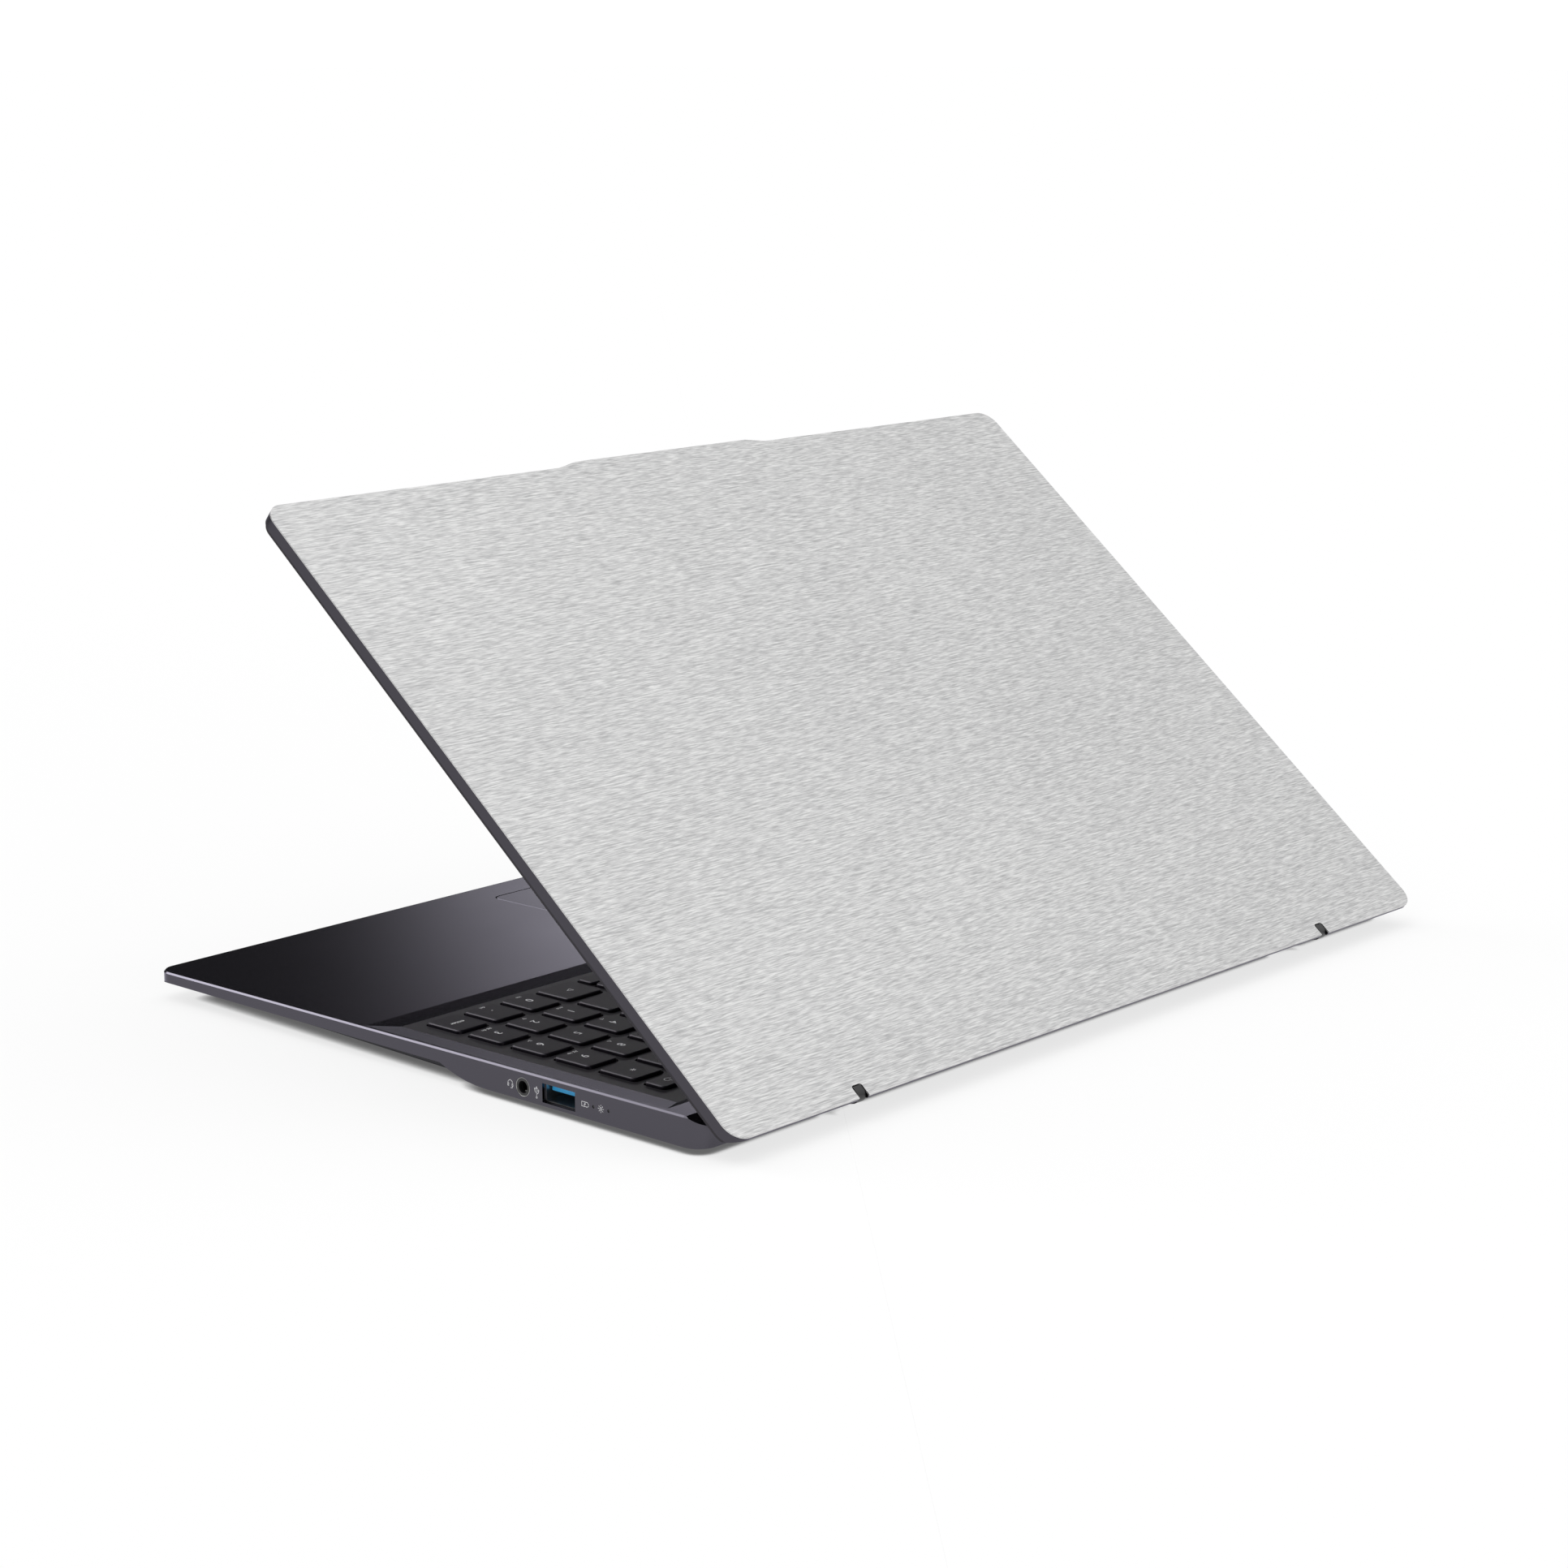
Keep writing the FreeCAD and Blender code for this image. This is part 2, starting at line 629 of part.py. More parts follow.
def build_keyboard():
    keys = {}
    windows = []
    for i, (node, left, front, width, depth) in enumerate(key_places()):
        cap = rounded_block(f"cap_{i}", (left, front, "key_top - key_thick"), (width, depth, "key_thick"),
                            value("key_round"))
        keys.setdefault(node, []).append(bevel_top(f"cap_{i}_bevel", cap, value("key_chamfer")))
        windows.append(rounded_block(f"window_{i}", (f"{left} - key_clear", f"{front} - key_clear", "-3"),
                                     (f"{width} + 2 * key_clear", f"{depth} + 2 * key_clear", "4"),
                                     value("key_round + 0.2")))
    for node, caps in keys.items():
        keep(node, group(node, caps), DECK)

    grid = block("grid_plate", ("-floor_half", "floor_front", "-floor_depth - grid_thick"),
                 ("2 * floor_half", "floor_rear - floor_front", "grid_thick"))
    keep("keyboard_grid", cut("keyboard_grid", grid, group("grid_windows", windows)), DECK)
    centre = ("0", "(floor_front + floor_rear) / 2")
    size = ("2 * floor_half - 11", "floor_rear - floor_front - 6")
    sheet_body = plate("dome_plate", centre + ("sheet_top - sheet_thick",), size + ("sheet_thick",), "2")
    keep("key_dome_sheet", sheet_body, DECK)
    under = "sheet_top - sheet_thick - backplate_thick"
    keep("keyboard_backplate", plate("back_plate", centre + (under,), size + ("backplate_thick",), "2"), DECK)


def build_touchpad():
    slab = rounded_block("touchpad_slab", ("pad_x - pad_width / 2", "pad_front", "-0.05 - pad_thick"),
                         ("pad_width", "pad_depth", "pad_thick"), value("pad_round"))
    keep("touchpad", bevel_top("touchpad", slab, 0.15), DECK)
    shelf = block("bracket_shelf", ("pad_x - pad_width / 2 - 8", "pad_front - 6", "bracket_top - bracket_thick"),
                  ("pad_width + 16", "pad_depth + 10", "bracket_thick"))
    rails = [block(f"bracket_rail_{i}", (x, "pad_front - 6", "bracket_top - 0.1"),
                   ("5", "pad_depth + 10", "-deck_thick - bracket_top + 0.1"))
             for i, x in enumerate(("pad_x - pad_width / 2 - 8", "pad_x + pad_width / 2 + 3"))]
    keep("touchpad_bracket", fuse("touchpad_bracket", [shelf] + rails), DECK)


# Inside the base.

def build_internals():
    battery = plate("battery_case", ("0", "-66", "3.1"), ("240", "92", "3.3"), "3")
    for i in (-1, 0, 1):
        sink_plate(battery, f"cell_seam_{i + 1}", (f"{i} * 60", "-66", "6.4"), ("1", "86", "0.4"), "0.4")
    keep("battery_pack", battery)

    board = new_body("board")
    profile = sketch_on(board, "board_outline", "XY_Plane", ("0", "0", "3.6"))
    outline(profile, [("-163.4", "-12"), ("148", "-12"), ("148", "42"), ("24", "42"), ("24", "90"),
                      ("-163.4", "90")])
    pad(board, profile, "board_pad", "0.8")
    chips = [("cpu", "-20", "28", "44", "26", "0.8"), ("chipset", "-62", "26", "22", "22", "0.9"),
             ("coil_bank", "-20", "58", "52", "9", "1.6"), ("controller", "60", "16", "14", "14", "0.9"),
             ("codec", "112", "20", "8", "8", "0.8")]
    for name, x, y, length, depth, height in chips:
        add_plate(board, name, (x, y, "4.4"), (length, depth, height), "0.5")
    keep("mainboard", board)

    modules = {"memory_module": ("-112", "8", "67.6", "30", "1.4"), "ssd_module": ("96", "-1", "80", "16", "1.6"),
               "wifi_card": ("-128", "66", "22", "30", "1.2")}
    for name, (x, y, length, depth, height) in modules.items():
        module = plate(name + "_board", (x, y, "4.4"), (length, depth, height + " / 2"), "0.6")
        add_plate(module, name + "_chips", (x, y, f"4.4 + {height} / 2"),
                  (f"{length} - 6", f"{depth} - 5", height + " / 2"), "0.5")
        keep(name, module)

    keep("io_board", plate("side_board", ("157", "59", "3.2"), ("13.4", "46", "0.8"), "1"))
    for side, x in (("left", "-144"), ("right", "144")):
        speaker = plate(f"speaker_box_{side}", (x, "-80", "3.1"), ("30", "46", "3.4"), "4")
        sink_plate(speaker, f"speaker_seam_{side}", (x, "-80", "6.5"), ("22", "34", "0.5"), "6")
        keep(f"speaker_{side}", speaker)


def build_cooling():
    half = "fan_size / 2"
    housing = plate("fan_box", ("fan_x", "fan_y", "fan_bottom"), ("fan_size", "fan_size", "fan_height"), "6")
    sink_plate(housing, "fan_chamber", ("fan_x", "fan_y", "fan_bottom + fan_height - 0.4"),
               ("2 * rotor_radius + 3", "2 * rotor_radius + 3", "fan_height - 0.8"), "rotor_radius + 1.4")
    tools = [peg("fan_inlet_top", ("fan_x", "fan_y", "fan_bottom + fan_height - 1"), "17", "2"),
             peg("fan_inlet_low", ("fan_x", "fan_y", "fan_bottom - 1"), "15", "2"),
             block("fan_outlet", (f"fan_x - {half} + 6", "fan_y", "fan_bottom + 0.4"),
                   ("fan_size - 12", f"{half} + 2", "fan_height - 0.8"))]
    spokes = [block("fan_spoke_across", ("fan_x - 16", "fan_y - 1.5", "fan_bottom"), ("32", "3", "0.4")),
              block("fan_spoke_along", ("fan_x - 1.5", "fan_y - 16", "fan_bottom"), ("3", "32", "0.4"))]
    spindle = peg("fan_spindle", ("fan_x", "fan_y", "fan_bottom"), "1", "fan_height - 0.8")
    hollow = cut("fan_shell", housing, group("fan_tools", tools))
    keep("fan_housing", fuse("fan_housing", [hollow, spindle] + spokes))

    rotor = new_body("rotor")
    hub = sketch_on(rotor, "rotor_hub", "XY_Plane", ("0", "0", "0"))
    hub.addGeometry(Part.Circle(Vector(), Vector(0, 0, 1), value("hub_radius")))
    hub.addGeometry(Part.Circle(Vector(), Vector(0, 0, 1), 1.05))
    hub.addConstraint(Sketcher.Constraint("Coincident", 0, 3, -1, 1))
    hub.addConstraint(Sketcher.Constraint("Coincident", 1, 3, -1, 1))
    hub.addConstraint(Sketcher.Constraint("Radius", 0, value("hub_radius")))
    hub.addConstraint(Sketcher.Constraint("Radius", 1, 1.05))
    hub.setExpression("Constraints[2]", cells("hub_radius"))
    pad(rotor, hub, "rotor_hub_pad", "2")
    blade = sketch_on(rotor, "rotor_blade", "XY_Plane", ("0", "0", "0.2"))
    outline(blade, [("hub_radius - 1", "-0.3"), ("rotor_radius", "3.2"), ("rotor_radius - 0.2", "3.8"),
                    ("hub_radius - 1.1", "0.3")])
    blade_pad = pad(rotor, blade, "rotor_blade_pad", "1.6")
    ring = rotor.newObject("PartDesign::PolarPattern", "rotor_blades")
    ring.Originals = [blade_pad]
    ring.Axis = (next(item for item in rotor.Origin.OriginFeatures if item.Role == "Z_Axis"), [""])
    bind(ring, {"Occurrences": "blade_count"})
    rotor.Tip = ring
    place = Placement(Vector(value("fan_x"), value("fan_y"), value("fan_bottom + 0.7")), Rotation())
    keep("fan_rotor", rotor, place)

    fins = [block(f"fin_{i}", (f"fan_x - 25 + {i} * 2", "fan_y + 28.2", "3.4"), ("0.5", "9", "1.8"))
            for i in range(26)]
    sole = block("fin_sole", ("fan_x - 25", "fan_y + 28.2", "3.1"), ("50.5", "9", "0.4"))
    keep("heatsink_fins", fuse("heatsink_fins", fins + [sole]))

    pipe = new_body("pipe")
    route = sketch_on(pipe, "pipe_route", "XY_Plane", ("0", "0", "5.2"))
    outline(route, [("-30", "24"), ("6", "24"), ("28", "46"), ("28", "96"), ("34", "101"), ("86", "101"),
                    ("86", "107"), ("30", "107"), ("22", "98"), ("22", "48"), ("4", "30"), ("-30", "30")])
    pad(pipe, route, "pipe_pad", "1.4")
    keep("heat_pipe", pipe)


# Side connectors.

def socket_shell(name, side, rounding=None):
    """A folded metal shell behind its opening, closed at the inner end."""
    y, z, length, height = PORTS[name]
    mouth = "width / 2 - port_recess"
    start = {"right": f"{mouth} - port_depth", "left": f"-({mouth})"}[side]
    skin = "shell_thick"
    outer = block(f"{name}_outer", (start, f"{y} - {length} / 2 + 0.1", f"{z} - {height} / 2 + 0.1"),
                  ("port_depth", f"{length} - 0.2", f"{height} - 0.2"))
    hollow_start = {"right": f"{start} + {skin}", "left": f"{start} - 1"}[side]
    hollow = block(f"{name}_hollow", (hollow_start, f"{y} - {length} / 2 + 0.1 + {skin}",
                                      f"{z} - {height} / 2 + 0.1 + {skin}"),
                   (f"port_depth + 1 - {skin}", f"{length} - 0.2 - 2 * {skin}", f"{height} - 0.2 - 2 * {skin}"))
    if rounding is not None:
        along_x = lambda edge: edge.BoundBox.XLength > 3
        outer = round_edges(f"{name}_outer_round", outer, rounding, along_x)
        hollow = round_edges(f"{name}_hollow_round", hollow, rounding - value("shell_thick"), along_x)
    return cut(f"{name}_shell_solid", outer, hollow)


def socket_tongue(name, side, shape):
    """The contact tongue: its length, its thickness and its height above the socket's middle."""
    y, z, length, height = PORTS[name]
    width, thick, lift = shape
    inner = "width / 2 - port_recess - port_depth + shell_thick"
    start = {"right": inner, "left": f"-({inner}) - port_depth + 2"}[side]
    return block(f"{name}_tongue_solid", (start, f"{y} - {width} / 2", f"{z} + {lift}"),
                 ("port_depth - 2", width, thick))


def build_ports():
    for side in ("right", "left"):
        name = f"usb_a_{side}"
        keep(f"{name}_shell", socket_shell(name, side))
        keep(f"{name}_tongue", socket_tongue(name, side, ("11.4", "1.9", "0.35")))
    hdmi = [socket_shell("hdmi_port", "left", 1.2), socket_tongue("hdmi_port", "left", ("10.5", "1.2", "-0.4"))]
    keep("hdmi_port", group("hdmi_port", hdmi))
    usb_c = []
    for name in ("usb_c_front", "usb_c_rear"):
        usb_c.append(socket_shell(name, "left", 1.4))
        usb_c.append(socket_tongue(name, "left", ("6.4", "0.7", "-0.35")))
    keep("usb_c_ports", group("usb_c_ports", usb_c))

    inner = "width / 2 - case_wall"
    body = block("jack_body", (f"{inner} - 12.6", "jack_y - 3.4", "3.2"), ("12.6", "6.8", "5.6"))
    bore = peg("jack_bore", (f"{inner} - 13", "jack_y", "jack_z"), "jack_radius", "14", "x")
    keep("audio_jack", cut("audio_jack", body, bore))
    ring = peg("jack_collar", (inner, "jack_y", "jack_z"), "jack_ring", "case_wall - 0.1", "x")
    ring_bore = peg("jack_collar_bore", (f"{inner} - 1", "jack_y", "jack_z"), "jack_radius + 0.1", "4", "x")
    keep("audio_jack_ring", cut("audio_jack_ring", ring, ring_bore))

    pipes = [peg(f"light_pipe_{i}", (f"{inner} - 6", y, "light_z"), "light_radius - 0.02", "case_wall + 5.8",
                 "x") for i, y in enumerate(LIGHTS)]
    keep("indicator_light_pipes", group("indicator_light_pipes", pipes))


# Hinges: a bracket with a barrel in the base, and an arm with a pin in the lid.

def build_hinges():
    for side, (centre, inward) in HINGES.items():
        barrel_end = f"{centre} + {inward} * (arm_width / 2 + 0.4)"
        barrel_start = barrel_end if inward > 0 else f"{barrel_end} - 8"
        barrel = peg(f"barrel_{side}", (barrel_start, "hinge_y", "hinge_z"), "2.1", "8", "x")
        web = block(f"bracket_web_{side}", (barrel_start, "92", "hinge_z - 1.5"),
                    ("8", "hinge_y - 92", "1.2"))
        bore = peg(f"barrel_bore_{side}", (f"{barrel_start} - 1", "hinge_y", "hinge_z"),
                   "pin_radius + pin_clear", "10", "x")
        blank = fuse(f"bracket_blank_{side}", [barrel, web])
        keep(f"hinge_bracket_{side}", cut(f"bracket_{side}", blank, bore))

        arm = new_body(f"arm_{side}")
        profile = sketch_on(arm, f"arm_profile_{side}", "YZ_Plane", ("0", "0", centre))
        head = "lid_bottom - notch_depth + 0.4"
        outline(profile, [("1.2", "-2.2"), ("9.4", "9.0"), ("7.3", "12.3"), (head, "12.3"), (head, "10.4"),
                          ("-11.5", "10.4"), ("-11.5", "8.5"), ("-2.3", "8.5"), ("-2.3", "0.4")],
                {1: ("2.3", 1), 8: ("eye_radius", 1)})
        pad(arm, profile, f"arm_pad_{side}", "arm_width", symmetric=True)
        add_plate(arm, f"arm_leaf_{side}", (f"{centre} + {inward} * 9", "-7.6", "8.5"),
                  ("20", "7.6", "1.2"), "1")
        pin = sketch_on(arm, f"pin_profile_{side}", "YZ_Plane", ("0", "0", centre))
        pin.addGeometry(Part.Circle(Vector(), Vector(0, 0, 1), value("pin_radius")))
        pin.addConstraint(Sketcher.Constraint("Coincident", 0, 3, -1, 1))
        pin.addConstraint(Sketcher.Constraint("Radius", 0, value("pin_radius")))
        pin.setExpression("Constraints[1]", cells("pin_radius"))
        pin_pad = pad(arm, pin, f"pin_pad_{side}", "arm_width / 2 + pin_length")
        pin_pad.Reversed = inward < 0
        keep(f"hinge_arm_{side}", arm, LID)


# Lid, built closed. Up the lid is -Y and out of its back is +Z.

def lid_outline(body, name, bottom, height, inset):
    """The lid's outline with its finger lip, as a plate."""
    add_plate(body, name, ("0", "lid_bottom - lid_length / 2", bottom),
              (f"width - 2 * ({inset})", f"lid_length - 2 * ({inset})", height), "corner_radius")
    lip = sketch_on(body, name + "_lip", "XY_Plane", ("0", "0", bottom))
    edge = f"lid_bottom - lid_length + {inset}"
    outline(lip, [("-lip_foot", edge), ("-lip_foot", f"{edge} + 3"), ("lip_foot", f"{edge} + 3"),
                  ("lip_foot", edge), ("lip_flat", f"{edge} - lip_height"),
                  ("-lip_flat", f"{edge} - lip_height")])
    pad(body, lip, name + "_lip_pad", height)


def lid_notches(name, depth, corner):
    """The two arm notches in the lid's lower edge, as tools. depth runs up the lid."""
    tools = []
    for side, (centre, _) in HINGES.items():
        tools.append(rounded_block(f"{name}_notch_{side}",
                                   (f"{centre} - notch_width / 2", f"lid_bottom - ({depth})", "-1"),
                                   ("notch_width", "30", "20"), corner))
    return tools


def lid_bevel(name):
    """A tool that bevels the lid's lower edge from just under the skin to its inner face."""
    body = new_body(name + "_bevel")
    profile = sketch_on(body, name + "_bevel_profile", "YZ_Plane")
    band = "lid_outer - edge_band"
    outline(profile, [(f"lid_bottom - ({band} - lid_inner) - 1", "lid_inner - 1"),
                      ("lid_bottom + 2", "lid_inner - 1"), ("lid_bottom + 2", band), ("lid_bottom", band)])
    pad(body, profile, name + "_bevel_pad", "width + 4", symmetric=True)
    return body


def build_lid():
    skin = new_body("skin")
    lid_outline(skin, "skin_plate", "lid_outer - skin_thick", "skin_thick", "0")
    keep("lid_skin", cut("lid_skin", skin, group("skin_tools", lid_notches("skin", "notch_depth", 1.0))), LID)

    cover = new_body("cover")
    low = "(lid_inner + bezel_thick)"
    high = "(lid_outer - skin_thick)"
    lid_outline(cover, "cover_plate", low, f"{high} - {low}", "0")
    ceiling = f"{high} - cover_floor"
    hollow = block("cover_hollow", ("-width / 2 + cover_wall", "lid_bottom - lid_length + cover_wall",
                                    f"{low} - 1"),
                   ("width - 2 * cover_wall", "lid_length - cover_wall - notch_depth + 0.2",
                    f"{ceiling} - {low} + 1"))
    tools = group("cover_tools", [hollow, lid_bevel("cover")] + lid_notches("cover", "notch_depth", 1.0))
    keep("lid_cover", cut("lid_cover", cover, tools), LID)

    bezel = new_body("bezel")
    lid_outline(bezel, "bezel_plate", "lid_inner", "bezel_thick", "bezel_inset")
    screen = block("bezel_window", ("-screen_width / 2", "lid_bottom - screen_low - screen_height", "0"),
                   ("screen_width", "screen_height", "20"))
    lens_way = peg("lens_way", ("0", "lid_bottom - 247.6", "0"), "2.0", "20")
    tools = group("bezel_tools", [screen, lens_way, lid_bevel("bezel")]
                  + lid_notches("bezel", "lid_bottom + 2.8", 1.0))
    keep("display_bezel", cut("display_bezel", bezel, tools), LID)

    panel = plate("panel_box", ("0", "lid_bottom - 133.15", f"{low} + 0.05"),
                  ("349", "222.3", "panel_thick"), "1.5")
    keep("lcd_panel", panel, LID)

    camera = plate("camera_board", ("0", "lid_bottom - 247.8", f"{low} + 0.1"), ("62", "5.2", "1.4"), "0.6")
    lens = sketch_on(camera, "lens_profile", "XY_Plane", ("0", "lid_bottom - 247.6", "lid_inner + 0.2"))
    lens.addGeometry(Part.Circle(Vector(), Vector(0, 0, 1), 1.9))
    lens.addConstraint(Sketcher.Constraint("Coincident", 0, 3, -1, 1))
    lens.addConstraint(Sketcher.Constraint("Radius", 0, 1.9))
    pad(camera, lens, "lens_pad", "bezel_thick")
    keep("webcam_module", camera, LID)

    bumpers = []
    for i, (x, up) in enumerate([(-150, 249), (150, 249), (-60, 249), (60, 249), (-150, 14), (150, 14)]):
        corner = (f"{x} - 7", f"lid_bottom - {up} - 1.1", "lid_inner - 0.22")
        bumpers.append(rounded_block(f"bumper_{i}", corner, ("14", "2.2", "0.22"), 1.05))
    keep("bezel_bumpers", group("bezel_bumpers", bumpers), LID)


build_top_case()
build_bottom_cover()
build_feet()
build_screws()
build_keyboard()
build_touchpad()
build_internals()
build_cooling()
build_ports()
build_hinges()
build_lid()
doc.recompute()

for item in doc.Objects:
    if "Invalid" in item.State or "Error" in item.State:
        raise RuntimeError(f"{item.Label} failed: {item.State}")
for label, feature in subparts.items():
    if feature.Shape.isNull() or not feature.Shape.isValid():
        raise RuntimeError(f"{label} has no valid shape")
    feature.Shape.exportStep(f"parts/{label}.step")
    box = feature.Shape.optimalBoundingBox(True, False)
    print(f"{label:24s} solids {len(feature.Shape.Solids):3d}  volume {feature.Shape.Volume:10.1f}"
          f"  x {box.XMin:8.2f} {box.XMax:8.2f}  y {box.YMin:8.2f} {box.YMax:8.2f}"
          f"  z {box.ZMin:7.2f} {box.ZMax:7.2f}")
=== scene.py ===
import json
import math

import bpy
import numpy as np
from mathutils import Matrix, Vector


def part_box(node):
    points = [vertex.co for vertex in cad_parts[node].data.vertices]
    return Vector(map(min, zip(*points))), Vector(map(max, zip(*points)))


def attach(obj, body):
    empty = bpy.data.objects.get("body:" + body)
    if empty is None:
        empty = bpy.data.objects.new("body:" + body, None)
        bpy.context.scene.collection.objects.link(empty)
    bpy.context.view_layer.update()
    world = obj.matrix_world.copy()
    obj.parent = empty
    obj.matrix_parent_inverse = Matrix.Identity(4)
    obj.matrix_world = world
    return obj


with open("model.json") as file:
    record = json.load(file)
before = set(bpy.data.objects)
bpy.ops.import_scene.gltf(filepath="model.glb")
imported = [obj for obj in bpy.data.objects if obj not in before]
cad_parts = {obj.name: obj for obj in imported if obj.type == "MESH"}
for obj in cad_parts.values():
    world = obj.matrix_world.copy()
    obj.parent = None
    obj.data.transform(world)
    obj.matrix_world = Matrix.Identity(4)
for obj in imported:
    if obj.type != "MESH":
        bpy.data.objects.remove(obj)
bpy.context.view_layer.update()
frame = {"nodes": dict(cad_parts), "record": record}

MM = 0.001


# Materials

def material(name, colour, roughness, metallic=0.0, **sockets):
    """A plain principled material. In the names of further sockets, _ stands for a space."""
    made = bpy.data.materials.new(name)
    made.use_nodes = True
    shader = made.node_tree.nodes["Principled BSDF"]
    shader.inputs["Base Color"].default_value = (*colour, 1)
    shader.inputs["Roughness"].default_value = roughness
    shader.inputs["Metallic"].default_value = metallic
    for socket, value in sockets.items():
        shader.inputs[socket.replace("_", " ")].default_value = value
    return made


def noise(made, scale, detail=3.0, stretch=(1, 1, 1)):
    """A noise value that stays on the piece. stretch multiplies the scale along X, Y and Z."""
    nodes, links = made.node_tree.nodes, made.node_tree.links
    place = nodes.new("ShaderNodeTexCoord")
    mapping = nodes.new("ShaderNodeMapping")
    mapping.inputs["Scale"].default_value = stretch
    texture = nodes.new("ShaderNodeTexNoise")
    texture.inputs["Scale"].default_value = scale
    texture.inputs["Detail"].default_value = detail
    links.new(place.outputs["Object"], mapping.inputs["Vector"])
    links.new(mapping.outputs["Vector"], texture.inputs["Vector"])
    return texture.outputs["Fac"]


def ranged(made, value, low, high, out_low, out_high):
    nodes, links = made.node_tree.nodes, made.node_tree.links
    node = nodes.new("ShaderNodeMapRange")
    for socket, number in zip(("From Min", "From Max", "To Min", "To Max"), (low, high, out_low, out_high)):
        node.inputs[socket].default_value = number
    links.new(value, node.inputs["Value"])
    return node.outputs["Result"]


def roughness_from(made, value, low, high, out_low, out_high):
    shader = made.node_tree.nodes["Principled BSDF"]
    made.node_tree.links.new(ranged(made, value, low, high, out_low, out_high), shader.inputs["Roughness"])


def bump_from(made, value, strength, distance):
    nodes, links = made.node_tree.nodes, made.node_tree.links
    node = nodes.new("ShaderNodeBump")
    node.inputs["Strength"].default_value = strength
    node.inputs["Distance"].default_value = distance
    links.new(value, node.inputs["Height"])
    links.new(node.outputs["Normal"], nodes["Principled BSDF"].inputs["Normal"])


def colour_from(made, value, low, high, dark, light):
    """Base colour that runs from dark to light as value runs from low to high."""
    nodes, links = made.node_tree.nodes, made.node_tree.links
    ramp = nodes.new("ShaderNodeValToRGB")
    ramp.color_ramp.elements[0].position = low
    ramp.color_ramp.elements[0].color = (*dark, 1)
    ramp.color_ramp.elements[1].position = high
    ramp.color_ramp.elements[1].color = (*light, 1)
    links.new(value, ramp.inputs["Fac"])
    links.new(ramp.outputs["Color"], nodes["Principled BSDF"].inputs["Base Color"])


def summed(made, first, second, share):
    """first * (1 - share) + second * share."""
    nodes, links = made.node_tree.nodes, made.node_tree.links
    node = nodes.new("ShaderNodeMix")
    node.inputs["Factor"].default_value = share
    links.new(first, node.inputs["A"])
    links.new(second, node.inputs["B"])
    return node.outputs["Result"]


def brushed_lid():
    made = material("lid_brushed", (0.6, 0.6, 0.6), 0.42, 0.85)
    grain = noise(made, 1.0, 4.0, (210, 2500, 2500))
    threads = noise(made, 1.0, 2.0, (80, 5200, 5200))
    mottle = noise(made, 1.0, 2.0, (9, 14, 14))
    fine = summed(made, grain, threads, 0.3)
    colour_from(made, summed(made, fine, mottle, 0.05), 0.36, 0.64, (0.4, 0.4, 0.405), (0.77, 0.77, 0.765))
    roughness_from(made, grain, 0.3, 0.7, 0.36, 0.5)
    bump_from(made, fine, 0.25, 0.00004)
    return made


def slate(name, colour, roughness):
    """The satin dark slate paint of the metal body."""
    made = material(name, colour, roughness, 1.0, Specular_Tint=(0.93, 0.91, 1.0, 1.0))
    cloud = noise(made, 1.0, 3.0, (30, 30, 30))
    roughness_from(made, cloud, 0.3, 0.7, roughness - 0.005, roughness + 0.005)
    bump_from(made, noise(made, 2600.0, 2.0), 0.02, 0.00001)
    return made


def moulded(name, colour, roughness, scale=3000.0, strength=0.12):
    made = material(name, colour, roughness, Specular_Tint=(0.94, 0.86, 1.0, 1.0))
    bump_from(made, noise(made, scale, 2.0), strength, 0.00003)
    return made


def matt(name, colour):
    """Sand-blasted plastic that hardly shines, even at a low angle."""
    made = material(name, colour, 0.85, Specular_IOR_Level=0.06)
    bump_from(made, noise(made, 3000.0, 2.0), 0.1, 0.00003)
    return made


def circuit():
    made = material("circuit_green", (0.012, 0.09, 0.05), 0.35)
    tracks = noise(made, 1.0, 1.0, (900, 160, 400))
    colour_from(made, tracks, 0.46, 0.54, (0.008, 0.06, 0.035), (0.03, 0.15, 0.085))
    return made


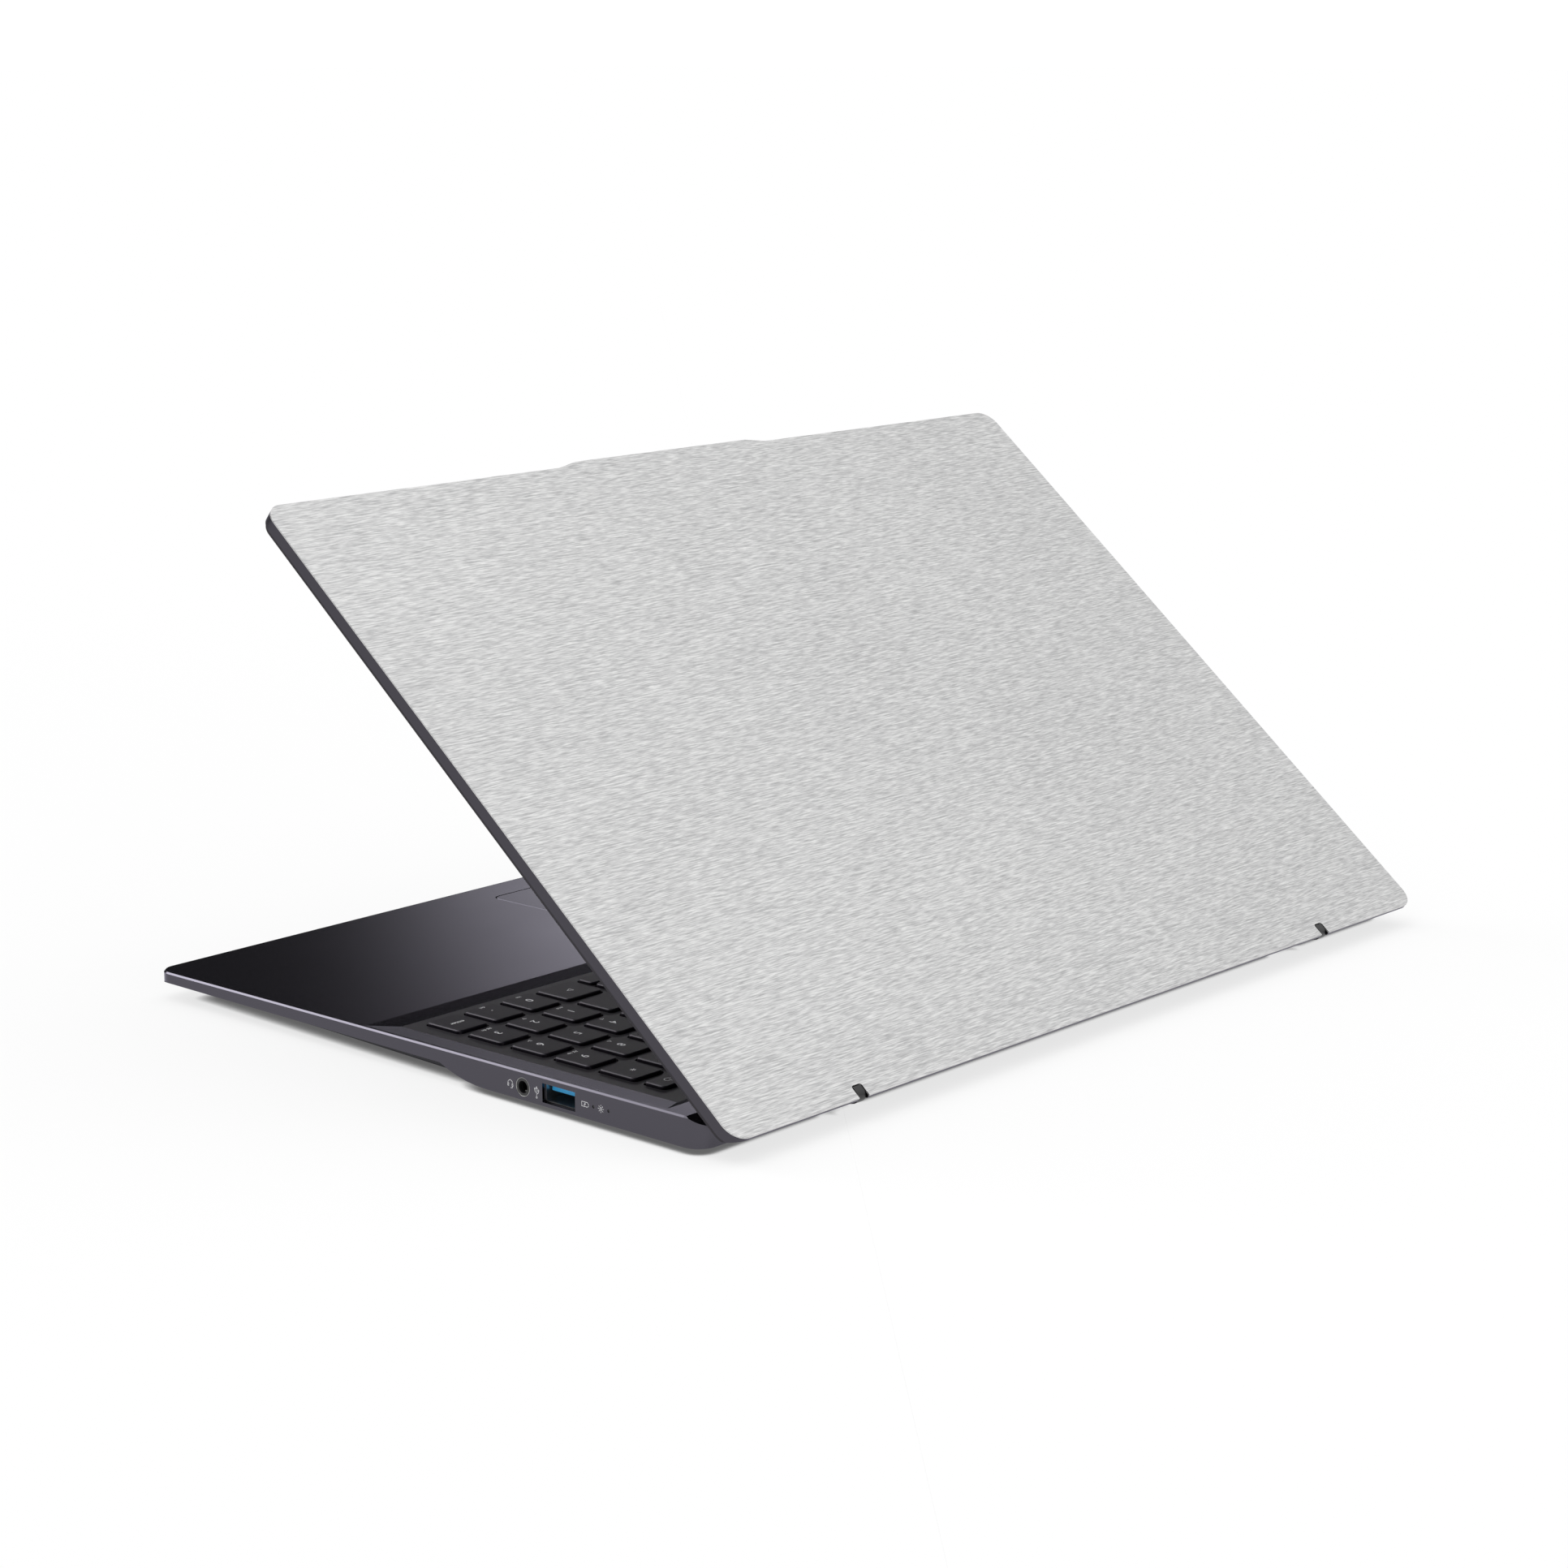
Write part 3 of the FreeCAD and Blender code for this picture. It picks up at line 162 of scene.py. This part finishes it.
MATERIALS = {
    "deck_paint": slate("slate_paint", (0.083, 0.079, 0.094), 0.19),
    "underside_plastic": matt("underside_plastic", (0.03, 0.0295, 0.034)),
    "foot_rubber": moulded("foot_rubber", (0.012, 0.012, 0.012), 0.8, 1800.0, 0.3),
    "screw_steel": material("screw_black", (0.06, 0.06, 0.065), 0.35, 0.9),
    "keyboard_plastic": moulded("keyboard_plastic", (0.02, 0.0195, 0.022), 0.45),
    "key_plastic": moulded("key_plastic", (0.006, 0.0052, 0.009), 0.45),
    "key_legend": material("key_legend", (0.9, 0.9, 0.92), 0.6),
    "icon_print": material("icon_print", (0.75, 0.75, 0.77), 0.6),
    "dome_rubber": material("dome_rubber", (0.03, 0.03, 0.03), 0.7),
    "plate_steel": material("plate_steel", (0.4, 0.4, 0.41), 0.4, 1.0),
    "touchpad_surface": slate("touchpad_surface", (0.066, 0.063, 0.075), 0.19),
    "battery_wrap": moulded("battery_wrap", (0.015, 0.015, 0.016), 0.35, 300.0, 0.2),
    "circuit_board": circuit(),
    "speaker_plastic": moulded("speaker_plastic", (0.015, 0.015, 0.015), 0.5),
    "fan_plastic": moulded("fan_plastic", (0.014, 0.014, 0.015), 0.45),
    "fin_aluminium": material("fin_aluminium", (0.6, 0.6, 0.6), 0.35, 1.0),
    "copper": material("copper", (0.75, 0.33, 0.2), 0.3, 1.0),
    "port_steel": material("port_steel", (0.5, 0.5, 0.49), 0.3, 1.0),
    "usb_blue": material("usb_blue", (0.03, 0.5, 1.0), 0.45),
    "port_plastic": material("port_plastic", (0.006, 0.006, 0.007), 0.45),
    "jack_ring_metal": material("jack_ring_metal", (0.012, 0.012, 0.013), 0.3),
    "light_pipe": material("light_pipe", (0.02, 0.02, 0.022), 0.15),
    "hinge_steel": material("hinge_black", (0.008, 0.008, 0.009), 0.28),
    "lid_aluminium": brushed_lid(),
    "lid_plastic": slate("lid_edge_paint", (0.07, 0.066, 0.078), 0.3),
    "bezel_plastic": moulded("bezel_plastic", (0.008, 0.008, 0.009), 0.5, 2200.0, 0.2),
    "screen_film": material("screen_film", (0.004, 0.004, 0.005), 0.22),
    "webcam_glass": material("webcam_glass", (0.003, 0.003, 0.006), 0.05),
}
for row in frame["record"]["subparts"]:
    mesh = frame["nodes"][row["node"]].data
    mesh.materials.clear()
    mesh.materials.append(MATERIALS[row["material_slot"]])


# Pieces

NODE_BODY = {node: body for body, nodes in frame["record"]["behaviour"]["bodies"].items() for node in nodes}


# How thick print is, how much its letters are thickened, and how far apart they stand.
PRINT = 0.02 * MM
LETTER_WEIGHT = 0.008
LETTER_SPACING = 1.05


class Batch:
    """Vertices and faces gathered for one piece."""

    def __init__(self):
        self.vertices = []
        self.faces = []

    def take(self, vertices, faces, place=Matrix.Identity(4)):
        start = len(self.vertices)
        self.vertices += [place @ Vector(v) for v in vertices]
        self.faces += [tuple(start + i for i in face) for face in faces]

    def box(self, low, high, place=Matrix.Identity(4)):
        corners = [(x, y, z) for z in (low[2], high[2])
                   for y in (low[1], high[1]) for x in (low[0], high[0])]
        sides = [(0, 2, 3, 1), (4, 5, 7, 6), (0, 1, 5, 4), (2, 6, 7, 3), (0, 4, 6, 2), (1, 3, 7, 5)]
        self.take(corners, sides, place)

    def stroke(self, points, width, height, place, closed=False):
        """A flat raised line through 2D points, its corners mitred."""
        ends = [Vector((*p, 0)) for p in points]
        count = len(ends)
        loop = []
        for i, here in enumerate(ends):
            before = ends[i - 1] if closed or i > 0 else None
            after = ends[(i + 1) % count] if closed or i < count - 1 else None
            first = (here - before).normalized() if before is not None else (after - here).normalized()
            second = (after - here).normalized() if after is not None else first
            normal = Vector((-(first + second).y, (first + second).x, 0)).normalized()
            cosine = max(0.35, normal.dot(Vector((-first.y, first.x, 0))))
            offset = normal * (width / 2 / cosine)
            for side, level in ((1, 0), (-1, 0), (-1, height), (1, height)):
                loop.append(here + side * offset + Vector((0, 0, level)))
        faces = []
        for i in range(count if closed else count - 1):
            a, b = 4 * i, 4 * ((i + 1) % count)
            for k in range(4):
                faces.append((a + k, b + k, b + (k + 1) % 4, a + (k + 1) % 4))
        if not closed:
            last = 4 * (count - 1)
            faces += [(0, 1, 2, 3), (last + 3, last + 2, last + 1, last)]
        self.take(loop, faces, place)

    def text(self, words, size, place):
        """Printed words, centred, as a thin solid."""
        curve = bpy.data.curves.new("print", "FONT")
        curve.body = words
        curve.size = size
        curve.offset = LETTER_WEIGHT * size
        curve.extrude = PRINT / 2
        curve.align_x = "CENTER"
        curve.align_y = "CENTER"
        curve.space_character = LETTER_SPACING
        curve.resolution_u = 3
        holder = bpy.data.objects.new("print", curve)
        bpy.context.collection.objects.link(holder)
        bpy.context.view_layer.update()
        mesh = bpy.data.meshes.new_from_object(holder)
        self.take([v.co for v in mesh.vertices], [tuple(p.vertices) for p in mesh.polygons],
                  place @ Matrix.Translation((0, 0, PRINT / 2)))
        bpy.data.objects.remove(holder)
        bpy.data.meshes.remove(mesh)
        bpy.data.curves.remove(curve)

    def add(self, name, slot, body, smooth=False):
        """Make the piece, in the slot's material, on a moving body."""
        mesh = bpy.data.meshes.new(name)
        mesh.from_pydata([tuple(v) for v in self.vertices], [], self.faces)
        mesh.validate()
        if smooth:
            mesh.polygons.foreach_set("use_smooth", [True] * len(mesh.polygons))
        piece = bpy.data.objects.new(name, mesh)
        bpy.context.collection.objects.link(piece)
        mesh.materials.append(MATERIALS[slot])
        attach(piece, body)


# Key legends, printed on the caps and read from the front

def islands(node):
    """The (lowest corner, highest corner) of each separate solid of a CAD node."""
    mesh = frame["nodes"][node].data
    points = np.array([v.co for v in mesh.vertices], float)
    keys = {}
    merged = [keys.setdefault(tuple(np.round(p, 7)), len(keys)) for p in points]
    parent = list(range(len(keys)))

    def root(i):
        while parent[i] != i:
            parent[i] = parent[parent[i]]
            i = parent[i]
        return i

    for polygon in mesh.polygons:
        first = root(merged[polygon.vertices[0]])
        for v in polygon.vertices[1:]:
            parent[root(merged[v])] = first
    groups = {}
    for i, p in enumerate(points):
        groups.setdefault(root(merged[i]), []).append(p)
    return [(np.min(g, axis=0), np.max(g, axis=0)) for g in groups.values()]


def in_rows(boxes):
    """Boxes from front to back, and left to right within a row."""
    return sorted(boxes, key=lambda b: (round(b[0][1] / 0.012), b[0][0]))


DECK_SLOPE = math.radians(0.395)


def key_top(box):
    """The frame of a cap's top face: origin at its middle, X right, Y towards the hinge."""
    low, high = box
    y = (low[1] + high[1]) / 2
    z = high[2] - (high[1] - low[1]) / 2 * math.sin(DECK_SLOPE) - 0.5 * PRINT
    return Matrix.Translation(((low[0] + high[0]) / 2, y, z)) @ Matrix.Rotation(DECK_SLOPE, 4, "X")


def shift(x, y):
    """A move across a flat face, in millimetres."""
    return Matrix.Translation((x * MM, y * MM, 0))


def mark(batch, name, place, size):
    """A drawn sign in a square of that size."""
    s = size / 2
    line = 0.16 * MM if size < 2.0 * MM else 0.2 * MM
    triangle = [(-0.75 * s, -0.85 * s), (0.85 * s, 0), (-0.75 * s, 0.85 * s)]
    turns = {"right": 0, "up": 90, "left": 180, "down": 270}
    if name in turns:
        turn = place @ Matrix.Rotation(math.radians(turns[name]), 4, "Z")
        batch.stroke(triangle, line, PRINT, turn, closed=True)
    elif name == "power":
        arc = [(s * math.sin(a), s * math.cos(a)) for a in np.radians(np.linspace(35, 325, 22))]
        batch.stroke(arc, line, PRINT, place)
        batch.stroke([(0, 0.1 * s), (0, 1.05 * s)], line, PRINT, place)
    elif name == "window":
        for dx in (-1, 1):
            for dy in (-1, 1):
                corner = [(dx * 0.12 * s, dy * 0.12 * s), (dx * 0.9 * s, dy * 0.12 * s),
                          (dx * 0.9 * s, dy * 0.9 * s), (dx * 0.12 * s, dy * 0.9 * s)]
                batch.stroke(corner, line, PRINT, place, closed=True)


# Heights of print: letters, digits of the number pad, words, and second legends.
MAIN = 3.5 * MM
DIGIT = 4.3 * MM
WORD = 2.5 * MM
SMALL = 1.75 * MM
LEGENDS = {
    "function_row_keys": "esc f1 f2 f3 f4 f5 f6 f7 f8 f9 f10 f11 f12 prt del home end".split(),
    "number_row_keys": "` 1 2 3 4 5 6 7 8 9 0 - =".split(),
    "backspace_key": ["backspace"],
    "tab_key": ["tab"],
    "upper_row_keys": list("QWERTYUIOP[]\\"),
    "caps_lock_key": ["caps lock"],
    "home_row_keys": list("ASDFGHJKL;'"),
    "enter_key": ["enter"],
    "left_shift_key": ["shift"],
    "lower_row_keys": list("ZXCVBNM,./"),
    "right_shift_key": ["shift"],
    "modifier_keys": ["ctrl", "fn", "@window", "alt", "alt", "ctrl"],
    "numpad_enter_key": ["enter"],
}
SHIFTED = dict(zip("`1234567890-=[]\\;',./", "~!@#$%^&*()_+{}|:\"<>?"))
PAD = ["0", "1", "2", "3", "4", "5", "6", "7", "8", "9"]
PAD_SECOND = {"0": "ins", "1": "end", "2": "@down", "3": "pg dn", "4": "@left", "6": "@right", "7": "home",
              "8": "@up", "9": "pg up"}


def legend(batch, place, half, word):
    """One key's print. half is half its width and half its depth."""
    across, along = half
    if word.startswith("@"):
        mark(batch, word[1:], place, 2.6 * MM)
    elif len(word) == 1 and word in SHIFTED:
        batch.text(word, MAIN * 0.95, place @ Matrix.Translation((-0.16 * across, -0.3 * along, 0)))
        batch.text(SHIFTED[word], MAIN * 0.85, place @ Matrix.Translation((-0.16 * across, 0.42 * along, 0)))
    elif len(word) == 1:
        batch.text(word, MAIN * 1.05, place @ Matrix.Translation((-0.3 * across, 0.28 * along, 0)))
    else:
        batch.text(word, WORD, place)


def print_keys():
    for node, words in LEGENDS.items():
        batch = Batch()
        for box, word in zip(in_rows(islands(node)), words):
            half = ((box[1][0] - box[0][0]) / 2, (box[1][1] - box[0][1]) / 2)
            legend(batch, key_top(box), half, word)
        batch.add("print_" + node, "key_legend", NODE_BODY[node])

    digit_spot = shift(-0.5, -1.3)
    second_spot = shift(-0.6, -6.2)
    digits = Batch()
    for box, digit in zip(in_rows(islands("numpad_digit_keys")), PAD):
        top = key_top(box)
        digits.text(digit, DIGIT, top @ digit_spot)
        second = PAD_SECOND.get(digit)
        spot = top @ second_spot
        if second and second.startswith("@"):
            mark(digits, second[1:], spot, 1.5 * MM)
        elif second:
            digits.text(second, SMALL, spot)
    digits.add("print_numpad_digit_keys", "key_legend", "numpad_digit_keys")

    signs = Batch()
    for box, word in zip(in_rows(islands("numpad_operator_keys")), (".", "num", "/", "*")):
        top = key_top(box)
        if word == ".":
            signs.text(".", DIGIT, top @ shift(-0.5, -0.6))
            signs.text("del", SMALL, top @ second_spot)
        elif word == "num":
            signs.text(word, WORD, top @ shift(-0.6, -2.2))
        else:
            signs.text(word, DIGIT, top)
    signs.add("print_numpad_operator_keys", "key_legend", "numpad_operator_keys")

    arrows = Batch()
    boxes = sorted(islands("arrow_keys"), key=lambda b: (b[0][0], b[0][1]))
    for box, sign in zip(boxes, ("left", "down", "up", "right")):
        mark(arrows, sign, key_top(box), 2.4 * MM)
    arrows.add("print_arrow_keys", "key_legend", "arrow_keys")

    power = Batch()
    mark(power, "power", key_top(islands("power_key")[0]), 2.8 * MM)
    power.add("print_power_key", "key_legend", "power_key")


print_keys()


# Signs beside the right-hand ports

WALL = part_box("top_case")[1].x - 0.4 * PRINT


def on_wall(y, z):
    """A frame on the right wall: X towards the hinge, Y up, Z out."""
    return Matrix(((0, 0, 1, WALL), (1, 0, 0, y * MM), (0, 1, 0, z * MM), (0, 0, 0, 1)))


def ring(radius, start=0, stop=360, steps=24):
    angles = np.radians(np.linspace(start, stop, steps))
    return [(radius * math.cos(a) * MM, radius * math.sin(a) * MM) for a in angles]


def mm(points):
    return [(x * MM, y * MM) for x, y in points]


def print_signs():
    batch = Batch()
    line = 0.17 * MM

    # headset
    here = on_wall(39.1, 6.15)
    batch.stroke(ring(1.0, -20, 200), line, PRINT, here)
    for side in (-1, 1):
        cup = mm([(side * 0.72, -0.1), (side * 1.12, -0.1), (side * 1.12, -0.85), (side * 0.72, -0.85)])
        batch.stroke(cup, line, PRINT, here, closed=True)
    batch.stroke(mm([(0.95, -0.9), (0.75, -1.35), (0.15, -1.4)]), line, PRINT, here)

    # trident
    here = on_wall(50.3, 5.65)
    batch.stroke(mm([(0, -1.45), (0, 1.45)]), line, PRINT, here)
    batch.stroke(mm([(-0.32, 1.15), (0, 1.75), (0.32, 1.15)]), line, PRINT, here, closed=True)
    batch.stroke(mm([(0, -0.7), (0.75, -0.05), (0.75, 0.45)]), line, PRINT, here)
    batch.stroke(mm([(0, -0.35), (-0.75, 0.3), (-0.75, 0.75)]), line, PRINT, here)
    square = mm([(0.55, 0.45), (0.95, 0.45), (0.95, 0.85), (0.55, 0.85)])
    batch.stroke(square, line, PRINT, here, closed=True)
    batch.stroke(ring(0.2, 0, 330, 9), line, PRINT, here @ shift(-0.75, 0.95), closed=True)
    batch.stroke(ring(0.26, 0, 330, 9), line, PRINT, here @ shift(0, -1.6), closed=True)

    # battery
    here = on_wall(70.5, 6.3)
    batch.stroke(mm([(-1.3, -0.7), (1.1, -0.7), (1.1, 0.7), (-1.3, 0.7)]), line, PRINT, here, closed=True)
    batch.stroke(mm([(1.1, -0.3), (1.45, -0.3), (1.45, 0.3), (1.1, 0.3)]), line, PRINT, here, closed=True)
    batch.stroke(mm([(0.25, 0.5), (-0.35, -0.05), (0.2, 0.05), (-0.3, -0.5)]), line, PRINT, here)

    # sun
    here = on_wall(77.05, 6.3)
    batch.stroke(ring(0.42, 0, 345, 14), line, PRINT, here, closed=True)
    for i in range(8):
        a = i * math.pi / 4
        ray = [(r * math.cos(a), r * math.sin(a)) for r in (0.75, 1.2)]
        batch.stroke(mm(ray), line, PRINT, here)
    batch.add("port_signs", "icon_print", "base")


print_signs()


# Details inside the right-hand sockets

def hoop(batch, place, radius, thickness, steps=40, sides=8):
    """A round wire ring in the frame's XY plane."""
    points = []
    for a in np.linspace(0, 2 * math.pi, steps, endpoint=False):
        for b in np.linspace(0, 2 * math.pi, sides, endpoint=False):
            reach = radius + thickness * math.cos(b)
            points.append((reach * math.cos(a), reach * math.sin(a), thickness * math.sin(b)))
    faces = []
    for i in range(steps):
        for j in range(sides):
            near, far = i * sides, (i + 1) % steps * sides
            after = (j + 1) % sides
            faces.append((near + j, far + j, far + after, near + after))
    batch.take(points, faces, place)


def build_jack_details():
    """The bright lip of the jack's ring, and the contact spring in its bore."""
    low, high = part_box("audio_jack_ring")
    middle = (low + high) / 2
    lip_radius = 2.84 * MM
    lip_wire = 0.1 * MM
    jack = on_wall(middle.y / MM, middle.z / MM) @ Matrix.Translation((0, 0, -1.2 * lip_wire))
    lip = Batch()
    hoop(lip, jack, lip_radius, lip_wire)
    lip.add("jack_rim", "port_steel", "base", smooth=True)
    spring = Batch()
    spring.box((-0.35 * MM, -1.75 * MM, -2.6 * MM), (0.35 * MM, -1.2 * MM, -1.2 * MM), jack)
    spring.add("jack_spring", "port_steel", "base")


def build_usb_contacts():
    """Four flat contacts under the tongue of the USB-A socket."""
    low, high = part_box("usb_a_right_tongue")
    thickness = 0.12 * MM
    half_width = 0.5 * MM
    batch = Batch()
    for i in range(4):
        y = low.y + (high.y - low.y) * (0.17 + 0.22 * i)
        batch.box((high.x - 7 * MM, y - half_width, low.z - thickness),
                  (high.x - 0.5 * MM, y + half_width, low.z))
    batch.add("usb_a_right_contacts", "copper", "base")


build_jack_details()
build_usb_contacts()


# Stage, light and camera

FLOOR_REACH = 30.0
FLOOR_GLOW = 0.755
# Painted contact shadow on the floor: the glow it drops to, and how near a thing must stand over the floor
# to paint it.
PAINTED_SHADOW_GLOW = 0.12
PAINTED_SHADOW_REACH = 4 * MM


def glowing_paper_painted_shadow():
    """White paper that glows evenly, with a painted contact shadow: its glow drops where ambient occlusion
    finds something close over it.
    """
    paper = material("glowing_paper_painted_shadow", (0.21, 0.21, 0.21), 1.0, 0.0, Specular_IOR_Level=0.0)
    nodes, links = paper.node_tree.nodes, paper.node_tree.links
    shader = nodes["Principled BSDF"]
    shader.inputs["Emission Color"].default_value = (1, 1, 1, 1)
    # Painted shadow: the floor's glow follows ambient occlusion, so it is darker under and beside the
    # laptop.
    painted_shadow = nodes.new("ShaderNodeAmbientOcclusion")
    painted_shadow.inputs["Distance"].default_value = PAINTED_SHADOW_REACH
    glow = ranged(paper, painted_shadow.outputs["AO"], 0.35, 0.75, PAINTED_SHADOW_GLOW, FLOOR_GLOW)
    links.new(glow, shader.inputs["Emission Strength"])
    return paper


def build_floor():
    r = FLOOR_REACH
    mesh = bpy.data.meshes.new("floor")
    mesh.from_pydata([(-r, -r, 0), (r, -r, 0), (r, r, 0), (-r, r, 0)], [], [(0, 1, 2, 3)])
    floor = bpy.data.objects.new("floor", mesh)
    bpy.context.collection.objects.link(floor)
    mesh.materials.append(glowing_paper_painted_shadow())


def direction(azimuth, elevation):
    """Unit vector towards an azimuth, counted from +X towards +Y, and an elevation."""
    a, e = math.radians(azimuth), math.radians(elevation)
    return Vector((math.cos(a) * math.cos(e), math.sin(a) * math.cos(e), math.sin(e)))


NO_CUT = -90
CUT_SOFTNESS = 2
BACKDROP = 1.1
SOFTBOXES = [
    # azimuth, elevation, half angle at full strength, half angle where it ends, radiance,
    # and the elevation below which it is dark, or NO_CUT
    (144, 38, 14, 60, 0.95, NO_CUT),
    (286, 30, 6, 17, 6.0, NO_CUT),
    (300, 62, 10, 40, 1.6, NO_CUT),
    (214, -2, 19.7, 21.6, 2.2, 12),
    (78, 8, 6, 18, 4.0, NO_CUT),
    (0, 88, 15, 55, 0.9, NO_CUT),
]


def build_world(base=0.035):
    """A white backdrop, and soft boxes that light the object and show in its paint."""
    world = bpy.data.worlds.new("studio")
    world.use_nodes = True
    nodes, links = world.node_tree.nodes, world.node_tree.links
    nodes.clear()

    def blend(value, start, stop, top):
        node = nodes.new("ShaderNodeMapRange")
        node.interpolation_type = "SMOOTHSTEP"
        node.inputs["From Min"].default_value = start
        node.inputs["From Max"].default_value = stop
        node.inputs["To Max"].default_value = top
        links.new(value, node.inputs["Value"])
        return node.outputs["Result"]

    def joined(operation, first, second):
        node = nodes.new("ShaderNodeMath")
        node.operation = operation
        links.new(first, node.inputs[0])
        links.new(second, node.inputs[1])
        return node.outputs[0]

    output = nodes.new("ShaderNodeOutputWorld")
    place = nodes.new("ShaderNodeTexCoord")
    parts = nodes.new("ShaderNodeSeparateXYZ")
    links.new(place.outputs["Generated"], parts.inputs[0])
    total = nodes.new("ShaderNodeValue").outputs[0]
    total.default_value = base
    for azimuth, elevation, full, end, radiance, dark_below in SOFTBOXES:
        dot = nodes.new("ShaderNodeVectorMath")
        dot.operation = "DOT_PRODUCT"
        dot.inputs[1].default_value = direction(azimuth, elevation)
        links.new(place.outputs["Generated"], dot.inputs[0])
        start, stop = math.cos(math.radians(end)), math.cos(math.radians(full))
        glow = blend(dot.outputs["Value"], start, stop, radiance)
        if dark_below > NO_CUT:
            edge = [math.sin(math.radians(dark_below + step)) for step in (-CUT_SOFTNESS, CUT_SOFTNESS)]
            glow = joined("MULTIPLY", glow, blend(parts.outputs["Z"], *edge, 1.0))
        total = joined("ADD", total, glow)
    studio = nodes.new("ShaderNodeBackground")
    studio.inputs["Color"].default_value = (1, 1, 1, 1)
    links.new(total, studio.inputs["Strength"])
    seen = nodes.new("ShaderNodeBackground")
    seen.inputs["Color"].default_value = (1, 1, 1, 1)
    seen.inputs["Strength"].default_value = BACKDROP
    path = nodes.new("ShaderNodeLightPath")
    mix = nodes.new("ShaderNodeMixShader")
    links.new(path.outputs["Is Camera Ray"], mix.inputs["Fac"])
    links.new(studio.outputs[0], mix.inputs[1])
    links.new(seen.outputs[0], mix.inputs[2])
    links.new(mix.outputs[0], output.inputs["Surface"])
    bpy.context.scene.world = world


CAMERA_AZIMUTH = math.radians(131.963)
CAMERA_ELEVATION = math.radians(12.522)
CAMERA_ROLL = math.radians(-0.133)
CAMERA_TARGET = Vector((0.002153, -0.009505, 0.060621))
CAMERA_DISTANCE = 1.142591
CAMERA_LENS = 76.96


def build_camera():
    back = Vector((math.sin(CAMERA_AZIMUTH) * math.cos(CAMERA_ELEVATION),
                   -math.cos(CAMERA_AZIMUTH) * math.cos(CAMERA_ELEVATION), math.sin(CAMERA_ELEVATION)))
    level = Vector((math.cos(CAMERA_AZIMUTH), math.sin(CAMERA_AZIMUTH), 0))
    upright = back.cross(level)
    right = math.cos(CAMERA_ROLL) * level + math.sin(CAMERA_ROLL) * upright
    up = math.cos(CAMERA_ROLL) * upright - math.sin(CAMERA_ROLL) * level
    place = CAMERA_TARGET + CAMERA_DISTANCE * back
    data = bpy.data.cameras.new("camera")
    data.sensor_width = 36
    data.lens = CAMERA_LENS
    data.clip_end = 100
    camera = bpy.data.objects.new("camera", data)
    bpy.context.collection.objects.link(camera)
    camera.matrix_world = Matrix(((right.x, up.x, back.x, place.x), (right.y, up.y, back.y, place.y),
                                  (right.z, up.z, back.z, place.z), (0, 0, 0, 1)))
    bpy.context.scene.camera = camera


build_floor()
build_world()
build_camera()
view = bpy.context.scene.view_settings
view.view_transform = "Standard"
view.look = "None"
view.exposure = 0.0
